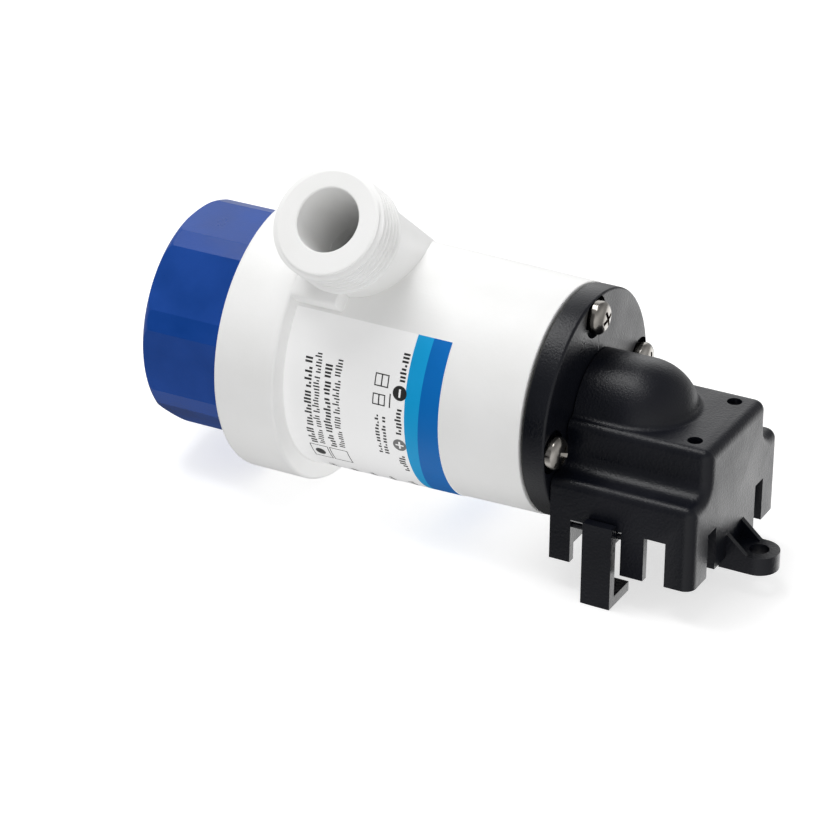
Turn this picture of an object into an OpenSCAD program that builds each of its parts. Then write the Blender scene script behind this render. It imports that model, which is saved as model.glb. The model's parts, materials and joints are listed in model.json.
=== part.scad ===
// Horizontal bilge pump with an octagonal end cap, a threaded outlet and a clip-on strainer base.
// The shapes are drawn about the pump axis, with x = 0 on the front face of the inlet flange, then
// moved so that the origin is the mounting ear's screw hole on its underside. +X points from the
// end cap to the mounting ear, +Z is up, and the outlet leans towards -Y.
// Angles named "lean" or "turn" are measured about the pump axis, from +Z towards -Y.

/* [Inlet flange] */
// Radius of the round flange that closes the front of the housing
flange_r = 34; // [34:0.5:35]
// Thickness of the flange
flange_t = 6.7; // [6.5:0.1:9]
// Radius of the circle that the flange screws sit on
screw_circle_r = 28.6; // [28:0.1:29]
// Number of flange screws
screw_count = 4; // [3:1:4]
// Turn of the first flange screw
screw_turn = 5; // [0:1:10]
// Screw thread radius
screw_r = 2.4; // [2:0.1:2.4]

/* [Pump housing] */
// Outer radius of the housing tube at the flange
tube_r_front = 34.2; // [34.2:0.1:35]
// Outer radius of the housing tube at the collar
tube_r_rear = 35.5; // [35.2:0.1:36]
// Inner radius of the housing tube
tube_bore_r = 31; // [30.5:0.1:31.2]
// Distance from the flange face to the collar's step
collar_front = 82.7; // [80:0.1:85]
// Distance from the flange face to the back of the collar
collar_rear = 103; // [102.5:0.1:104]
// Outer radius of the collar
collar_r = 41.3; // [40:0.1:42]
// Radius of the collar's rounded rear edge
collar_round = 2; // [1.5:0.1:3]

/* [Outlet] */
// Lean of the outlet from vertical
outlet_lean = 51.8; // [45:0.1:60]
// Distance from the flange face to the outlet's axis
outlet_back = 69.2; // [68:0.1:71]
// Sideways offset of the outlet's axis from the pump axis
outlet_offset = 22.3; // [21.5:0.1:23]
// Height of the outlet's end face above the pump axis
outlet_h = 59.8; // [58:0.1:62]
// Major radius of the outlet's G 1 pipe thread
outlet_thread_r = 16.6; // [16:0.1:17]
// Length of the threaded stretch
outlet_thread_len = 14.8; // [14:0.1:16]
// Radius of the plain neck under the thread
outlet_neck_r = 14.6; // [14:0.1:15.5]
// Radius of the outlet's bore
outlet_bore_r = 9.4; // [9:0.05:10]
// Offset of the bore from the outlet's axis
outlet_bore_shift = 0.7; // [0:0.1:0.8]

/* [End cap] */
// Radius of the end cap at its corners
cap_r = 34; // [33.5:0.1:34.5]
// Distance from the flange face to the end cap's outer face
cap_end = 132.4; // [131.9:0.1:134]
// Number of flats round the cap
cap_sides = 8; // [6:1:12]
// Width of each chamfered corner, in degrees
cap_corner_deg = 10.5; // [8:0.5:14]
// Turn of the cap's first corner
cap_turn = 17.7; // [0:0.1:44]

/* [Strainer base] */
// Length of the strainer box
base_len = 44.2; // [43:0.1:46]
// Height of the box's flat top above the pump axis
base_top = 3.6; // [2:0.1:5]
// Half width of the box above the ledge
base_half_upper = 19.7; // [19:0.1:21]
// Half width of the box below the ledge
base_half_lower = 29.7; // [28:0.1:31]
// Depth of the feet below the pump axis
base_bottom = 35.2; // [34:0.1:37]
// Wall thickness of the box
base_wall = 2.4; // [2:0.1:2.8]
// Outer radius of the domed inlet elbow
dome_r = 16.7; // [16:0.1:17.2]
// Radius of the two vent holes in the box's top
vent_r = 2.2; // [1.5:0.1:3]

/* [Mounting ear and latches] */
// Distance from the flange face to the ear's screw hole
ear_x = 51.9; // [51:0.1:54]
// Depth of the ear's underside below the pump axis
ear_bottom = 38.7; // [38:0.1:40]
// Thickness of the ear
ear_t = 5.4; // [4:0.1:6]
// Outer radius of the ear
ear_r = 6; // [5.5:0.1:7]
// Radius of the ear's screw hole
ear_hole_r = 2.95; // [2.5:0.05:3.2]
// Depth of the latch hooks below the pump axis
latch_bottom = 45; // [44:0.5:48]
// Width of each latch
latch_w = 9; // [7:0.5:9]

/* [Motor] */
// Outer radius of the sealed motor canister
canister_r = 21.5; // [21.5:0.1:22]
// Radius of the steel motor can
can_r = 19; // [19:0.1:19.1]
// Radius of the armature
armature_r = 13.2; // [12:0.1:13.3]
// Number of armature slots
slot_count = 7; // [3:2:9]
// Radius of the motor shaft
shaft_r = 2.5; // [2:0.1:2.8]
// Number of impeller vanes
vane_count = 6; // [4:1:8]
// Outer radius of the impeller
impeller_r = 22.5; // [20:0.5:24]

/* [Cable gland] */
// Radius of the cable hole in the gland's rubber seal
cable_r = 3.05; // [2.5:0.05:3.5]

/* [Hidden] */
$fn = 96;
small = 0.01;       // overlap that joins solids and clears cuts
running = 0.05;     // radial clearance of a shaft in a bushing
gasket_t = 0.6;
housing_front = -flange_t - gasket_t;
screw_seat = -0.4;              // underside of the screw heads
ring_bore_r = 23.2;             // bore of the housing's front ring
pillar_r = 4;
pillar_len = 16;
collar_bore_r = 37.3;
neck_r = 30;                    // threaded neck that the end cap screws on to
neck_bore_r = 26.6;
neck_end = -124;
thread_chamfer = 1.7;             // radial size of the chamfer at the outlet's face
thread_chamfer_len = 0.8;
outlet_bore_len = 22;
cap_wall = 3.1;
cap_front = -collar_rear - 0.3;
cap_bore_r = neck_r + 0.5;
cap_hole_r = 13.4;
cap_edge = 3.2;                  // rounding of the cap's outer edge
lid_boss_r = 12.6;
lid_flange_r = 29.6;
lid_flange_t = 3.6;
washer_t = 0.9;
spigot_r = 19.2;                // lid spigot inside the canister
canister_bore_r = 19.3;
canister_front = -24;
canister_rear = -117.5;
gland_bore_r = 6.2;
cable_gap = 0.6;                // room round the cable in the hard parts
boss_front = -67.4;             // front end of the block that the outlet stands on
boss_low = 2.8;                 // sides of that block, measured along the outlet's offset
boss_high = 37;
ledge_top = -9.8;               // ledge between the strainer box's upper and lower walls
ledge_round = 2.6;
base_start = 0.3;
corner_round = 4;
elbow_x = 14.3;
elbow_bore_r = 14;
inlet_r = 12;
drop_r = 13.6;                  // vertical suction pipe inside the box
drop_bore_r = 11.4;
drop_end = -23;
slot_top = -21.6;
side_slots = [[6.7, 22.3], [29.3, 35.8]];
end_slots = [13.8, 19.4];
vent_x = 36.5;
vent_y = 13.7;
rib_t = 1.6;
rib_top = 27.8;
rib_len = 6.2;
latch_x = 12.1;
latch_t = 3;
latch_gap = 0.7;
latch_top = -19.4;
latch_reach = 13;               // inward reach of the hook
latch_lip_t = 3;
pivot_y = 28.5;                 // hinge pin of each latch
pivot_z = -23.6;
pivot_r = 0.8;
pivot_ends = [5.2, 23.8];
label_t = 0.2;
label_gap = 0.04;
label_front = -32.8;
label_turn = 49;
label_span = 190;
can_front = -33.5;
can_rear = -99;
can_bore_r = 17.6;
magnet_r = 13.8;
core_front = -46;
core_rear = -80;
commutator_r = 6;
shaft_front = -8.6;
shaft_rear = -103.8;
impeller_back = -20.5;

// Moves a shape from the pump-axis frame to the part's own frame
module in_frame() { translate([-ear_x, 0, ear_bottom]) children(); }

// Round bar along the pump axis from x0 to x1
module rod(r, x0, x1) { translate([x0, 0, 0]) rotate([0, 90, 0]) cylinder(r = r, h = x1 - x0); }

// Ring along the pump axis
module ring(r_out, r_in, x0, x1) {
    difference() {
        rod(r_out, x0, x1);
        rod(r_in, x0 - 1, x1 + 1);
    }
}

// Solid of revolution about the pump axis, from [x, r] points
module spun(points, angle = 360, turn = 0) {
    rotate([0, 90, 0]) rotate([0, 0, 180 + turn]) rotate_extrude(angle = angle)
        polygon([for (p = points) [p[1], p[0]]]);
}

// Points of a circular arc in [x, r] form
function arc(cx, cy, r, from, to, steps = 8) =
    [for (i = [0:steps]) let (a = from + (to - from) * i / steps) [cx + r * cos(a), cy + r * sin(a)]];

// Copies a shape to each flange screw; the shape is drawn at the top of the flange
module at_screws() {
    for (i = [0:screw_count - 1])
        rotate([screw_turn + i * 360 / screw_count, 0, 0]) translate([0, 0, screw_circle_r]) children();
}

// The outlet's own frame: z along its axis, y along its offset
module at_outlet() {
    rotate([outlet_lean, 0, 0]) translate([-outlet_back, outlet_offset, 0]) children();
}

// Rubber ring of round section
module o_ring(r, cord_r, x) {
    translate([x, 0, 0]) rotate([0, 90, 0]) rotate_extrude() translate([r, 0]) circle(r = cord_r, $fn = 32);
}

// ---- Housing ----

function tube_r_at(x) =
    tube_r_front + (tube_r_rear - tube_r_front) * (housing_front - x) / (collar_front + housing_front);

module housing_outside() {
    spun(concat(
        [[housing_front, 0], [housing_front, tube_r_front], [-collar_front, tube_r_rear],
            [-collar_front, collar_r]],
        arc(-collar_rear + collar_round, collar_r - collar_round, collar_round, 90, 180, 6),
        [[-collar_rear, neck_r], [neck_end, neck_r], [neck_end, 0]]));
}

module housing_inside() {
    spun([[housing_front + 1, 0], [housing_front + 1, ring_bore_r], [housing_front - 5, ring_bore_r],
        [housing_front - 5, tube_bore_r], [-collar_front + 3, tube_bore_r], [-collar_front - 3, collar_bore_r],
        [-collar_rear + 6, collar_bore_r], [-collar_rear + 3, 35], [-collar_rear + 3, neck_bore_r],
        [neck_end - 1, neck_bore_r], [neck_end - 1, 0]]);
}

// Block that carries the collar's curve forward under the outlet
module outlet_block() {
    rotate([outlet_lean, 0, 0]) intersection() {
        rod(collar_r - 0.1, -collar_front - 1, boss_front);
        translate([-collar_front - 2, boss_low, 3]) cube([30, boss_high - boss_low, 45]);
    }
}

module outlet_pipe() {
    at_outlet() {
        sphere(r = outlet_neck_r);
        cylinder(r = outlet_neck_r, h = outlet_h - outlet_thread_len + small);
        translate([0, 0, outlet_h - outlet_thread_len])
            cylinder(r = outlet_thread_r, h = outlet_thread_len - thread_chamfer_len);
        translate([0, 0, outlet_h - thread_chamfer_len - small])
            cylinder(r1 = outlet_thread_r, r2 = outlet_thread_r - thread_chamfer,
                h = thread_chamfer_len + small);
    }
}

// Bore of the outlet: a long stretch at its full size, then a slightly narrower one into the chamber
module outlet_bore() {
    at_outlet() translate([0, outlet_bore_shift, 0]) {
        translate([0, 0, 6]) cylinder(r = outlet_bore_r - 0.5, h = outlet_h);
        translate([0, 0, outlet_h - outlet_bore_len]) cylinder(r = outlet_bore_r, h = outlet_h);
    }
}

module screw_pillars() {
    intersection() {
        at_screws() rod(pillar_r, housing_front - pillar_len, housing_front - small);
        rod(tube_r_front - 1, -60, 0);
    }
}

module pump_housing() {
    color("white") in_frame() difference() {
        union() {
            difference() {
                union() {
                    housing_outside();
                    outlet_block();
                    outlet_pipe();
                }
                housing_inside();
            }
            screw_pillars();
        }
        at_screws() rod(screw_r + running, housing_front - pillar_len + 1.5, housing_front + 1);
        outlet_bore();
    }
}

module label() {
    color("whitesmoke") in_frame() {
        back = -collar_front + 0.3;
        r_back = tube_r_at(back) + label_gap;
        r_front = tube_r_at(label_front) + label_gap;
        outline = [[back, r_back], [label_front, r_front],
            [label_front, r_front + label_t], [back, r_back + label_t]];
        spun(outline, angle = label_span, turn = label_turn);
    }
}

// ---- Inlet flange ----

module inlet_flange() {
    color("#1b1b1d") in_frame() difference() {
        union() {
            spun(concat([[-flange_t, inlet_r], [-flange_t, flange_r]],
                arc(-0.8, flange_r - 0.8, 0.8, 90, 0, 4), [[0, inlet_r]]));
            ring(elbow_bore_r - 0.3, inlet_r, -1, 6.5);
        }
        at_screws() rod(screw_r + 0.3, -flange_t - 1, 1);
        at_screws() ring(6.3, 4.3, -1.8, 12);
        at_screws() rod(5, screw_seat, 12);
        o_ring(elbow_bore_r - 0.5, 1.1, 4);
    }
}

module flange_gasket() {
    color("#202020") in_frame() difference() {
        ring(flange_r - 0.4, ring_bore_r, -flange_t - gasket_t, -flange_t);
        at_screws() rod(screw_r + 0.3, -flange_t - 2, 0);
    }
}

module flange_screws() {
    head_r = 4.9;
    head_h = 3.5;
    slot_depth = 1.8;
    slot_len = 5.2;
    slot_w = 0.9;
    seat = screw_seat;
    color("silver") in_frame() at_screws() difference() {
        union() {
            rod(screw_r, seat - 20.5, seat + small);
            spun(concat([[seat, 0], [seat, head_r], [seat + 1, head_r]],
                [for (i = [1:8]) [seat + 1 + (head_h - 1) * sin(90 * i / 8), head_r * cos(90 * i / 8)]]));
        }
        for (a = [45, 135]) rotate([a, 0, 0])
            translate([seat + head_h - slot_depth, -slot_len / 2, -slot_w / 2]) cube([4, slot_len, slot_w]);
    }
}

module inlet_o_ring() {
    color("#101010") in_frame() o_ring(elbow_bore_r - 0.8, 0.75, 4);
}

// ---- Strainer base ----

// Half of the box's cross-section as [y, z] points, grown by -inset
function box_side(inset) = let (
    up = base_half_upper - inset, low = base_half_lower - inset, top = base_top - inset,
    ledge = ledge_top - inset, out_r = max(ledge_round - inset, 0.6), in_r = ledge_round + inset)
    concat(arc(up - out_r, top - out_r, out_r, 90, 0, 5),
        arc(up + in_r, ledge + in_r, in_r, 180, 270, 5),
        arc(low - out_r, ledge - out_r, out_r, 90, 0, 5));

module box_section(inset, depth) {
    side = box_side(inset);
    far = len(side) - 1;
    polygon(concat([[0, base_top - inset]], side, [[side[far][0], -depth], [-side[far][0], -depth]],
        [for (i = [far:-1:0]) [-side[i][0], side[i][1]]]));
}

// Extrudes a [y, z] outline along the pump axis
module along_x(x0, x1) {
    translate([x0, 0, 0]) rotate([90, 0, 90]) linear_extrude(x1 - x0) children();
}

// Plan outline with the two corners at the ear end rounded
module base_plan() {
    w = base_half_lower;
    translate([base_start, -w]) square([base_len - base_start - corner_round, 2 * w]);
    translate([base_start, -w + corner_round]) square([base_len - base_start, 2 * (w - corner_round)]);
    for (s = [-1, 1]) translate([base_len - corner_round, s * (w - corner_round)])
        circle(r = corner_round, $fn = 48);
}

module box_shell() {
    difference() {
        intersection() {
            along_x(base_start, base_len) box_section(0, base_bottom);
            translate([0, 0, -60]) linear_extrude(100) base_plan();
        }
        along_x(base_start + base_wall, base_len - base_wall) box_section(base_wall, 60);
    }
}

module strainer_slots() {
    for (s = side_slots, side = [-1, 1])
        translate([s[0], side * base_half_lower - 5, slot_top - 20]) cube([s[1] - s[0], 10, 20]);
    for (side = [-1, 1]) translate([base_len - 5, side > 0 ? end_slots[0] : -end_slots[1], slot_top - 20])
        cube([10, end_slots[1] - end_slots[0], 20]);
    translate([base_start - 1, -11, -41]) cube([base_wall + 2, 22, 20.5]);
}

module mounting_ear() {
    top = -ear_bottom + ear_t;
    difference() {
        union() {
            translate([ear_x, 0, -ear_bottom]) cylinder(r = ear_r, h = ear_t);
            translate([base_len - base_wall, -ear_r, -ear_bottom])
                cube([ear_x - base_len + base_wall, 2 * ear_r, ear_t]);
        }
        translate([ear_x, 0, -ear_bottom - 1]) cylinder(r = ear_hole_r, h = ear_t + 2);
    }
    for (side = [0, 1]) mirror([0, side, 0]) translate([0, ear_r, 0]) rotate([90, 0, 0]) linear_extrude(rib_t)
        polygon([[base_len - 1, top - 1], [base_len - 1, -rib_top], [base_len, -rib_top],
            [base_len + rib_len, top], [base_len + rib_len, top - 1]]);
}

module strainer_base() {
    color("#1b1b1d") in_frame() difference() {
        union() {
            box_shell();
            rod(dome_r, base_start, elbow_x);
            translate([elbow_x, 0, 0]) sphere(r = dome_r);
            translate([elbow_x, 0, drop_end]) cylinder(r = drop_r, h = -drop_end);
            mounting_ear();
        }
        rod(elbow_bore_r, base_start - 4, elbow_x);
        translate([elbow_x, 0, 0]) sphere(r = elbow_bore_r);
        translate([elbow_x, 0, drop_end - 1]) cylinder(r = drop_bore_r, h = 1 - drop_end);
        strainer_slots();
        for (side = [-1, 1]) translate([0, side * pivot_y, pivot_z])
            rod(pivot_r + running, pivot_ends[0] - 0.2, pivot_ends[1] + 0.2);
        for (side = [-1, 1]) translate([vent_x, side * vent_y, base_top - base_wall - 1])
            cylinder(r = vent_r, h = base_wall + 2);
    }
}

// Spring clip outside one long wall of the box, on a pin that runs across the wall's slot
module latch() {
    outer = base_half_lower + latch_gap + latch_t;
    translate([latch_x, -outer, -latch_bottom]) {
        cube([latch_w, latch_t, latch_bottom + latch_top]);
        cube([latch_w, latch_reach, latch_lip_t]);
    }
    translate([latch_x, -outer + 1, pivot_z - 1.4]) cube([latch_w, outer - pivot_y + 0.4, 2.8]);
    translate([0, -pivot_y, pivot_z]) rod(pivot_r, pivot_ends[0], pivot_ends[1]);
}

module latch_front() {
    color("#1b1b1d") in_frame() latch();
}

module latch_rear() {
    color("#1b1b1d") in_frame() mirror([0, 1, 0]) latch();
}

// ---- End cap ----

module cap_outline() {
    half = cap_corner_deg / 2;
    polygon([for (i = [0:cap_sides - 1], s = [-half, half])
        let (a = cap_turn + i * 360 / cap_sides + s) [cap_r * cos(a), -cap_r * sin(a)]]);
}

module end_cap() {
    color("#1f4f9c") in_frame() difference() {
        intersection() {
            translate([-cap_end, 0, 0]) rotate([0, -90, 180])
                linear_extrude(cap_end + cap_front) cap_outline();
            spun(concat([[-cap_end, 0], [-cap_end, cap_r - cap_edge]],
                arc(-cap_end + cap_edge, cap_r - cap_edge, cap_edge, 180, 90, 8),
                [[cap_front - 0.6, cap_r], [cap_front, cap_r - 0.6], [cap_front, 0]]));
        }
        rod(cap_bore_r, -cap_end + cap_wall, cap_front + 1);
        rod(cap_hole_r, -cap_end - 1, -cap_end + cap_wall + 1);
    }
}

module slip_washer() {
    color("#d8d4c8") in_frame() ring(lid_flange_r, 18, -cap_end + cap_wall + 0.1, -cap_end + cap_wall + washer_t);
}

// ---- Motor cartridge ----

module canister_lid() {
    back = neck_end - lid_flange_t;
    color("#e6e6e2") in_frame() difference() {
        union() {
            rod(neck_bore_r - 0.2, canister_rear - 6.3, canister_rear - 0.2);
            rod(lid_flange_r, back, neck_end - 0.05);
            rod(spigot_r, canister_rear - 1, canister_rear + 8);
            rod(lid_boss_r, back - 6.5, back + 1);
        }
        rod(15, canister_rear - 4, canister_rear + 9);
        rod(gland_bore_r, back - 8, back + 4.8);
        rod(cable_r + cable_gap, back, canister_rear);
        o_ring(neck_bore_r - 0.4, 1.3, canister_rear - 3.2);
        o_ring(spigot_r - 0.2, 1, canister_rear + 4);
    }
}

module lid_o_ring() {
    color("#101010") in_frame() o_ring(neck_bore_r - 0.75, 0.72, canister_rear - 3.2);
}

module canister_o_ring() {
    color("#101010") in_frame() o_ring(spigot_r - 0.58, 0.6, canister_rear + 4);
}

module gland_seal() {
    back = neck_end - lid_flange_t;
    color("#181818") in_frame() ring(gland_bore_r - 0.1, cable_r, back - 1.5, back + 4.6);
}

module gland_nut() {
    back = neck_end - lid_flange_t;
    color("#1b1b1d") in_frame() difference() {
        union() {
            translate([back - 13, 0, 0]) rotate([0, 90, 0]) cylinder(r = 9.8, h = 6.4, $fn = 6);
            spun([[back - 15.5, 0], [back - 15.5, 6.5], [back - 13 + small, 8.4], [back - 13 + small, 0]]);
            rod(gland_bore_r - 0.05, back - 7, back - 1.7);
        }
        rod(cable_r + cable_gap, back - 17, back);
    }
}

module motor_canister() {
    color("#2a2c30") in_frame() difference() {
        rod(canister_r, canister_rear, canister_front);
        rod(canister_bore_r, canister_rear - 1, canister_front - 9);
        rod(8, canister_front - 7, canister_front + 1);
        rod(5.5, canister_front - 12, canister_front + 1);
    }
}

module shaft_seal() {
    color("#262626") in_frame() ring(7.95, shaft_r + running, canister_front - 6.9, canister_front - 1.5);
}

module seal_retainer() {
    color("silver") in_frame() ring(7.9, 3.4, canister_front - 1.4, canister_front - 0.4);
}

module motor_can() {
    color("silver") in_frame() ring(can_r, can_bore_r, can_rear, can_front);
}

module motor_front_cover() {
    color("#9a9ca0") in_frame() difference() {
        rod(can_bore_r - 0.05, can_front - 3, can_front);
        rod(5.02, can_front - 4, can_front + 1);
        for (a = [45:90:315]) rotate([a, 0, 0]) translate([0, 0, 11]) rod(2, can_front - 4, can_front + 1);
    }
}

module front_bushing() {
    color("#b08d57") in_frame() ring(5, shaft_r + running, can_front - 4.5, can_front + 1);
}

module magnets() {
    color("#3a3a3e") in_frame() for (side = [0, 180])
        spun([[core_rear - 2, magnet_r], [core_rear - 2, can_bore_r - 0.05], [core_front + 2, can_bore_r - 0.05],
            [core_front + 2, magnet_r]], angle = 130, turn = side - 65);
}

module brush_plate() {
    color("#6b3b1e") in_frame() difference() {
        union() {
            ring(can_bore_r - 0.1, 7.5, can_rear + 1, can_rear + 3);
            for (side = [-1, 1]) translate([can_rear + 2, side * 12 - 4.4, -3.2]) cube([9, 8.8, 6.4]);
        }
        for (side = [-1, 1]) translate([can_rear + 3.9, side * 11.1 - 4.6, -2.1]) cube([5.1, 9.2, 4.2]);
    }
}

module brushes() {
    color("#2c2c2c") in_frame() for (side = [0, 1]) mirror([0, side, 0]) difference() {
        translate([can_rear + 4, commutator_r - 0.4, -2]) cube([4.9, 5.2, 4]);
        rod(commutator_r + running, can_rear, can_rear + 14);
    }
}

// Coil spring swept along y as a mesh of rings
module coil_spring(r, wire_r, turns, length) {
    steps = 16 * turns;
    sides = 8;
    path = [for (i = [0:steps]) let (a = i * 22.5) [r * cos(a), length * i / steps, r * sin(a)]];
    points = [for (i = [0:steps], k = [0:sides - 1]) let (a = i * 22.5, b = k * 360 / sides)
        path[i] + wire_r * [cos(b) * cos(a), sin(b), cos(b) * sin(a)]];
    faces = concat([[for (k = [0:sides - 1]) k]], [[for (k = [sides - 1:-1:0]) steps * sides + k]],
        [for (i = [0:steps - 1], k = [0:sides - 1])
            [i * sides + k, (i + 1) * sides + k, (i + 1) * sides + (k + 1) % sides, i * sides + (k + 1) % sides]]);
    polyhedron(points = points, faces = faces);
}

module brush_springs() {
    color("silver") in_frame() for (side = [0, 1]) mirror([0, side, 0])
        translate([can_rear + 6.5, 11.15, 0]) coil_spring(1.4, 0.2, 4, 4.2);
}

module motor_rear_cover() {
    color("#9a9ca0") in_frame() difference() {
        union() {
            rod(can_r, can_rear - 2.5, can_rear - 0.05);
            rod(7.5, can_rear - 6, can_rear - 1);
        }
        rod(5.02, can_rear - 7, can_rear + 1);
        for (side = [-1, 1]) translate([can_rear - 4, side * 12 - 2.5, -1]) cube([5, 5, 2]);
    }
}

module rear_bushing() {
    color("#b08d57") in_frame() ring(5, shaft_r + running, can_rear - 5.5, can_rear + 0.5);
}

module terminals() {
    color("#c9a24b") in_frame() for (side = [-1, 1])
        translate([can_rear - 9, side * 12 - 2.2, -0.4]) difference() {
            cube([9.9, 4.4, 0.8]);
            translate([2, 2.2, -1]) cylinder(r = 0.8, h = 3, $fn = 24);
        }
}

// ---- Rotor ----

module motor_shaft() {
    color("silver") in_frame() difference() {
        rod(shaft_r, shaft_rear, shaft_front);
        translate([shaft_front - 9, -5, shaft_r - 0.5]) cube([7.4, 10, 2]);
        ring(shaft_r + 1, shaft_r - 0.45, shaft_front - 1.6, shaft_front - 0.9);
    }
}

module armature_core() {
    color("#8a8c90") in_frame() difference() {
        ring(armature_r, shaft_r, core_rear, core_front);
        for (i = [0:slot_count - 1]) rotate([i * 360 / slot_count, 0, 0]) {
            translate([core_rear - 1, -2, 6.5]) cube([36, 4, 5.2]);
            translate([core_rear - 1, -0.9, 6.5]) cube([36, 1.8, 10]);
        }
    }
}

module windings() {
    color("#b5622d") in_frame() {
        for (i = [0:slot_count - 1]) rotate([i * 360 / slot_count, 0, 0])
            translate([core_rear - 1, -1.9, 6.6]) cube([36, 3.8, 5]);
        for (x = [core_front + 2.5, core_rear - 2.5])
            spun(concat([[x + 2.45, 5]], arc(x, 9.5, 2.45, 0, 180, 10), [[x - 2.45, 5]]));
    }
}

module commutator() {
    color("#b87333") in_frame() difference() {
        ring(commutator_r, shaft_r, can_rear + 2.6, can_rear + 11.5);
        for (i = [0:slot_count - 1]) rotate([i * 360 / slot_count, 0, 0])
            translate([can_rear + 1, -0.25, commutator_r - 0.8]) cube([11.9, 0.5, 2]);
    }
}

module thrust_washers() {
    color("#d8d4c8") in_frame() {
        ring(4.4, shaft_r, can_front - 5.6, can_front - 4.8);
        ring(4.4, shaft_r, can_rear + 0.8, can_rear + 1.6);
    }
}

module impeller() {
    hub_front = shaft_front - 1.8;
    color("#e8e4da") in_frame() difference() {
        union() {
            rod(impeller_r, impeller_back, impeller_back + 1.8);
            spun([[impeller_back, 0], [impeller_back, 8], [hub_front, 5], [hub_front, 0]]);
            intersection() {
                for (i = [0:vane_count - 1]) rotate([i * 360 / vane_count, 0, 0])
                    translate([impeller_back + 1, 14, 4]) rotate([0, 90, 0]) difference() {
                        cylinder(r = 14.8, h = 10);
                        translate([0, 0, -1]) cylinder(r = 13.3, h = 12);
                        translate([-40, -40, -1]) cube([80, 40, 12]);
                    }
                spun([[impeller_back, 4], [impeller_back, impeller_r], [-15, impeller_r], [-11.5, 9], [-11.5, 4]]);
            }
        }
        rod(shaft_r, impeller_back - 1, hub_front + 1);
    }
}

module impeller_clip() {
    color("silver") in_frame() difference() {
        ring(4.6, shaft_r - 0.4, shaft_front - 1.55, shaft_front - 0.95);
        translate([shaft_front - 3, -1.4, -6]) cube([4, 2.8, 5.9]);
    }
}

pump_housing();
label();
inlet_flange();
flange_gasket();
flange_screws();
inlet_o_ring();
strainer_base();
latch_front();
latch_rear();
end_cap();
slip_washer();
canister_lid();
lid_o_ring();
canister_o_ring();
gland_seal();
gland_nut();
motor_canister();
shaft_seal();
seal_retainer();
motor_can();
motor_front_cover();
motor_rear_cover();
magnets();
front_bushing();
rear_bushing();
brush_plate();
brushes();
brush_springs();
terminals();
motor_shaft();
armature_core();
windings();
commutator();
thrust_washers();
impeller();
impeller_clip();
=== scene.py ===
# Looks, lights and camera for the bilge pump. Lengths in the helpers are millimetres in the
# pump-axis frame: x = 0 on the inlet flange's face, +X towards the mounting ear, +Z up.
import json
import math
import random

import bmesh
import bpy
from mathutils import Matrix, Vector


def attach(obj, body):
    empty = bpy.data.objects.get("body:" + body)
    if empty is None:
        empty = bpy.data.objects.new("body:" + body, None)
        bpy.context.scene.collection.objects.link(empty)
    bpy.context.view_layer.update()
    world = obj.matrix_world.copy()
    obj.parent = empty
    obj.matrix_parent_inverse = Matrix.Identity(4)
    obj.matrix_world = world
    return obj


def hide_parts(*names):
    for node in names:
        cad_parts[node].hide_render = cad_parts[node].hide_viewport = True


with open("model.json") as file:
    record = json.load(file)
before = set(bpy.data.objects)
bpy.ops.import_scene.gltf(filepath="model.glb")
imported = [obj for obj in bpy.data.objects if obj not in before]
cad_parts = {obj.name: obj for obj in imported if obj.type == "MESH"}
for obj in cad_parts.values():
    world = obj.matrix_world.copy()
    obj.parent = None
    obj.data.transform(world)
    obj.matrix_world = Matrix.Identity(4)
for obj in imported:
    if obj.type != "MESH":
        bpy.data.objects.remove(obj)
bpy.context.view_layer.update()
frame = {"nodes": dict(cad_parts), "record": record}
rng = random.Random(7)

# Main sizes in millimetres, about the pump axis; most are the CAD source's own
EAR_X, EAR_Z = 51.9, -38.7
TUBE_FRONT, TUBE_R_FRONT = -7.9, 34.2
COLLAR_FRONT, TUBE_R_REAR = -82.7, 35.5
COLLAR_REAR, COLLAR_R = -103.0, 41.3
CHAMBER_R = 31.6

# Outlet: its lean, the place of its axis, its height and thread
OUTLET_LEAN = math.radians(51.8)
OUTLET_X, OUTLET_OFFSET, OUTLET_H = -69.2, 22.3, 59.8
THREAD_R, THREAD_PITCH, THREAD_LEN, NECK_R = 16.6, 2.309, 14.8, 14.6
BORE_R, BORE_SHIFT = 9.4, 0.7
LUG_FRONT, LUG_SLANT = -68.6, 0.05

# Flange and its screws; FLANGE_T includes the gasket
FLANGE_R, FLANGE_T, GASKET_T = 34.0, 7.3, 0.6
SCREW_CIRCLE, SCREW_TURN, SCREW_COUNT = 28.6, 5.0, 4
SCREW_R, SCREW_SEAT, POCKET_R = 2.4, -0.4, 6.3

# Strainer base: its length, its stepped cross-section, the dome over the elbow
BASE_START, BASE_LEN = 0.3, 44.2
BASE_TOP, BASE_LEDGE, BASE_UPPER, BASE_LOWER = 3.6, -9.8, 19.7, 29.7
LEDGE_ROUND, LEDGE_FILLET = 2.6, 5.0
DOME_R, ELBOW_X, DROP_DEPTH = 16.7, 14.3, 23.0

# Label: its two ends along the axis, its top edge and its span in degrees
LABEL_REAR, LABEL_FRONT = -82.4, -32.8
LABEL_TOP, LABEL_SPAN = 49.0, 190.0

NEAR_AXIS = 0.01  # radius that stands for the axis, so that a lathe has no zero faces
FRAME_SIDE = 828  # picture's width and height


def place(p):
    """A point in millimetres about the pump axis, in the row frame in metres."""
    return Vector(((p[0] - EAR_X) / 1000, p[1] / 1000, (p[2] - EAR_Z) / 1000))


def tube_r(x):
    return TUBE_R_FRONT + (TUBE_R_REAR - TUBE_R_FRONT) * (TUBE_FRONT - x) / (TUBE_FRONT - COLLAR_FRONT)


def outlet_point(x, m, h):
    """A point given along the pump axis, along the outlet's offset and along its own axis."""
    c, s = math.cos(OUTLET_LEAN), math.sin(OUTLET_LEAN)
    return (x, m * c - h * s, m * s + h * c)


# ---- Materials ----

BLOTCH = 60.0  # mottling's scale, per metre


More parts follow.
